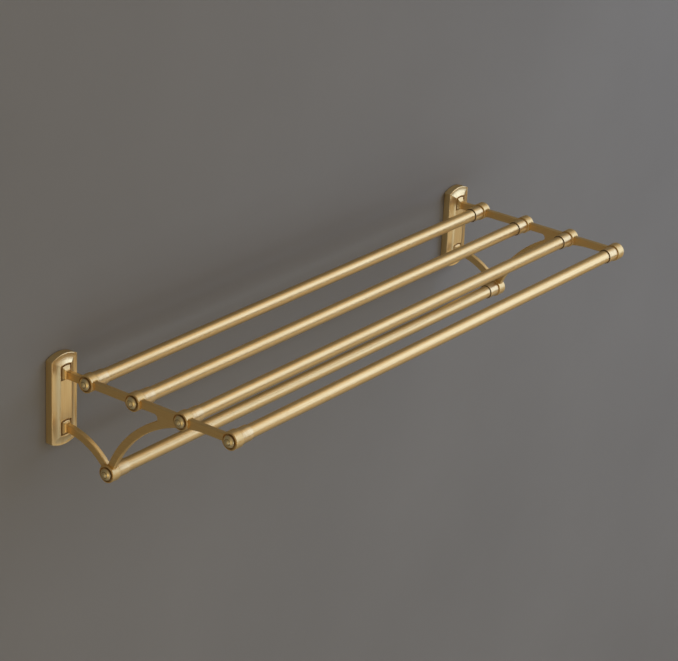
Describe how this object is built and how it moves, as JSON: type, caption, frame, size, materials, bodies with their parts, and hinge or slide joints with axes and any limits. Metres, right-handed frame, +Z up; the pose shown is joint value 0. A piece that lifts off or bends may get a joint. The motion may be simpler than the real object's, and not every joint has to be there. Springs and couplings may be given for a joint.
{
  "type": "wall-mounted towel rack with shelf",
  "caption": "Wall-mounted brass towel rack: a shelf of parallel tubes on two cast side frames with a lower towel rail and arched wall plates.",
  "frame": {"origin": "centre of the rectangle of four wall-screw holes, on the wall plane", "axes": "+X along the wall to the right seen from the room, +Y into the wall, +Z up"},
  "size_m": [0.632, 0.212, 0.1071],
  "materials": {
    "cast_brass": "satin brushed",
    "drawn_brass_tube": "satin, brushed along the tube",
    "turned_brass": "satin, turned",
    "zinc_plated_steel": "zinc plated",
    "plain_steel": "plain, machined"
  },
  "bodies": {
    "root": {"side_frame_left": "cast_brass", "side_frame_right": "cast_brass", "wall_plate_left": "cast_brass", "wall_plate_right": "cast_brass", "wall_bracket_left": "zinc_plated_steel", "wall_bracket_right": "zinc_plated_steel", "foot_screws_left": "plain_steel", "foot_screws_right": "plain_steel", "grub_screw_left": "plain_steel", "grub_screw_right": "plain_steel", "shelf_tube_1": "drawn_brass_tube", "shelf_tube_2": "drawn_brass_tube", "shelf_tube_3": "drawn_brass_tube", "shelf_tube_4": "drawn_brass_tube", "lower_rail": "drawn_brass_tube", "collar_left_1": "turned_brass", "collar_left_2": "turned_brass", "collar_left_3": "turned_brass", "collar_left_4": "turned_brass", "collar_left_5": "turned_brass", "collar_right_1": "turned_brass", "collar_right_2": "turned_brass", "collar_right_3": "turned_brass", "collar_right_4": "turned_brass", "collar_right_5": "turned_brass", "tube_plug_left_1": "plain_steel", "tube_plug_left_2": "plain_steel", "tube_plug_left_3": "plain_steel", "tube_plug_left_4": "plain_steel", "tube_plug_left_5": "plain_steel", "tube_plug_right_1": "plain_steel", "tube_plug_right_2": "plain_steel", "tube_plug_right_3": "plain_steel", "tube_plug_right_4": "plain_steel", "tube_plug_right_5": "plain_steel", "end_cap_left_1": "turned_brass", "end_cap_left_2": "turned_brass", "end_cap_left_3": "turned_brass", "end_cap_left_4": "turned_brass", "end_cap_left_5": "turned_brass", "end_cap_right_1": "turned_brass", "end_cap_right_2": "turned_brass", "end_cap_right_3": "turned_brass", "end_cap_right_4": "turned_brass", "end_cap_right_5": "turned_brass", "tube_screws_left": "plain_steel", "tube_screws_right": "plain_steel"}
  },
  "joints": []
}
